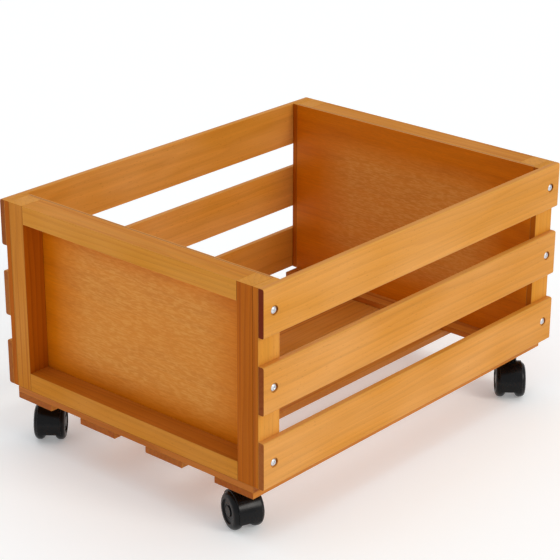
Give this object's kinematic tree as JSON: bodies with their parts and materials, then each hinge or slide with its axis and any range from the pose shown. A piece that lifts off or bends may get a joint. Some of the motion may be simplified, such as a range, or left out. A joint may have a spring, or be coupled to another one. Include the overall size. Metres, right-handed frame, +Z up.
{
  "type": "record storage crate on casters",
  "caption": "Low open-topped crate of lacquered softwood slats with framed panel ends, on small swivelling twin-wheel casters, for storing 12-inch records on edge.",
  "frame": {"origin": "middle of the footprint, on the floor under the wheels", "axes": "+Z up, Y along the slatted sides with the front end at -Y, X across the panelled ends with the right side at +X"},
  "size_m": [0.342, 0.45, 0.255],
  "materials": {
    "slat_pine": "honey tinted satin lacquer on planed softwood",
    "frame_pine": "amber tinted satin lacquer on planed softwood",
    "plywood": "amber tinted satin lacquer on thin plywood",
    "zinc_screw": "bright zinc plate",
    "steel_pin": "plain drawn steel",
    "nylon_hood": "satin moulded black nylon",
    "nylon_wheel": "smooth moulded black nylon"
  },
  "bodies": {
    "crate": {"front_stile_left": "frame_pine", "front_edge_strip_left": "frame_pine", "front_stile_right": "frame_pine", "front_edge_strip_right": "frame_pine", "front_rail_bottom": "frame_pine", "front_rail_top": "frame_pine", "front_panel": "plywood", "front_batten": "slat_pine", "back_stile_left": "frame_pine", "back_edge_strip_left": "frame_pine", "back_stile_right": "frame_pine", "back_edge_strip_right": "frame_pine", "back_rail_bottom": "frame_pine", "back_rail_top": "frame_pine", "back_panel": "plywood", "back_batten": "slat_pine", "left_slat_bottom": "slat_pine", "left_screw_front_bottom": "zinc_screw", "left_screw_back_bottom": "zinc_screw", "left_slat_middle": "slat_pine", "left_screw_front_middle": "zinc_screw", "left_screw_back_middle": "zinc_screw", "left_slat_top": "slat_pine", "left_screw_front_top": "zinc_screw", "left_screw_back_top": "zinc_screw", "right_slat_bottom": "slat_pine", "right_screw_front_bottom": "zinc_screw", "right_screw_back_bottom": "zinc_screw", "right_slat_middle": "slat_pine", "right_screw_front_middle": "zinc_screw", "right_screw_back_middle": "zinc_screw", "right_slat_top": "slat_pine", "right_screw_front_top": "zinc_screw", "right_screw_back_top": "zinc_screw", "floor_slat_1": "slat_pine", "floor_slat_2": "slat_pine", "floor_slat_3": "slat_pine", "floor_slat_4": "slat_pine", "front_left_stem": "steel_pin", "front_right_stem": "steel_pin", "back_left_stem": "steel_pin", "back_right_stem": "steel_pin"},
    "front_left_swivel": {"front_left_hood": "nylon_hood", "front_left_axle": "steel_pin"},
    "front_left_wheel_left": {"front_left_wheel_left": "nylon_wheel"},
    "front_left_wheel_right": {"front_left_wheel_right": "nylon_wheel"},
    "front_right_swivel": {"front_right_hood": "nylon_hood", "front_right_axle": "steel_pin"},
    "front_right_wheel_left": {"front_right_wheel_left": "nylon_wheel"},
    "front_right_wheel_right": {"front_right_wheel_right": "nylon_wheel"},
    "back_left_swivel": {"back_left_hood": "nylon_hood", "back_left_axle": "steel_pin"},
    "back_left_wheel_left": {"back_left_wheel_left": "nylon_wheel"},
    "back_left_wheel_right": {"back_left_wheel_right": "nylon_wheel"},
    "back_right_swivel": {"back_right_hood": "nylon_hood", "back_right_axle": "steel_pin"},
    "back_right_wheel_left": {"back_right_wheel_left": "nylon_wheel"},
    "back_right_wheel_right": {"back_right_wheel_right": "nylon_wheel"}
  },
  "joints": [
    {"name": "front_left_swivel_turn", "type": "hinge", "parent": "crate", "child": "front_left_swivel", "pos_m": [-0.1445, -0.1945, 0.03], "axis": [0, 0, 1], "continuous": true},
    {"name": "front_left_wheel_left_spin", "type": "hinge", "parent": "front_left_swivel", "child": "front_left_wheel_left", "pos_m": [-0.13872, -0.20139, 0.0184], "axis": [0.766, 0.6428, 0], "continuous": true},
    {"name": "front_left_wheel_right_spin", "type": "hinge", "parent": "front_left_swivel", "child": "front_left_wheel_right", "pos_m": [-0.13872, -0.20139, 0.0184], "axis": [0.766, 0.6428, 0], "continuous": true},
    {"name": "front_right_swivel_turn", "type": "hinge", "parent": "crate", "child": "front_right_swivel", "pos_m": [0.118, -0.201, 0.03], "axis": [0, 0, 1], "continuous": true},
    {"name": "front_right_wheel_left_spin", "type": "hinge", "parent": "front_right_swivel", "child": "front_right_wheel_left", "pos_m": [0.12629, -0.20452, 0.0184], "axis": [0.3907, 0.9205, 0], "continuous": true},
    {"name": "front_right_wheel_right_spin", "type": "hinge", "parent": "front_right_swivel", "child": "front_right_wheel_right", "pos_m": [0.12629, -0.20452, 0.0184], "axis": [0.3907, 0.9205, 0], "continuous": true},
    {"name": "back_left_swivel_turn", "type": "hinge", "parent": "crate", "child": "back_left_swivel", "pos_m": [-0.1435, 0.1945, 0.03], "axis": [0, 0, 1], "continuous": true},
    {"name": "back_left_wheel_left_spin", "type": "hinge", "parent": "back_left_swivel", "child": "back_left_wheel_left", "pos_m": [-0.13714, 0.18814, 0.0184], "axis": [0.7071, 0.7071, 0], "continuous": true},
    {"name": "back_left_wheel_right_spin", "type": "hinge", "parent": "back_left_swivel", "child": "back_left_wheel_right", "pos_m": [-0.13714, 0.18814, 0.0184], "axis": [0.7071, 0.7071, 0], "continuous": true},
    {"name": "back_right_swivel_turn", "type": "hinge", "parent": "crate", "child": "back_right_swivel", "pos_m": [0.143, 0.1945, 0.03], "axis": [0, 0, 1], "continuous": true},
    {"name": "back_right_wheel_left_spin", "type": "hinge", "parent": "back_right_swivel", "child": "back_right_wheel_left", "pos_m": [0.14885, 0.18766, 0.0184], "axis": [0.7604, 0.6494, 0], "continuous": true},
    {"name": "back_right_wheel_right_spin", "type": "hinge", "parent": "back_right_swivel", "child": "back_right_wheel_right", "pos_m": [0.14885, 0.18766, 0.0184], "axis": [0.7604, 0.6494, 0], "continuous": true}
  ]
}
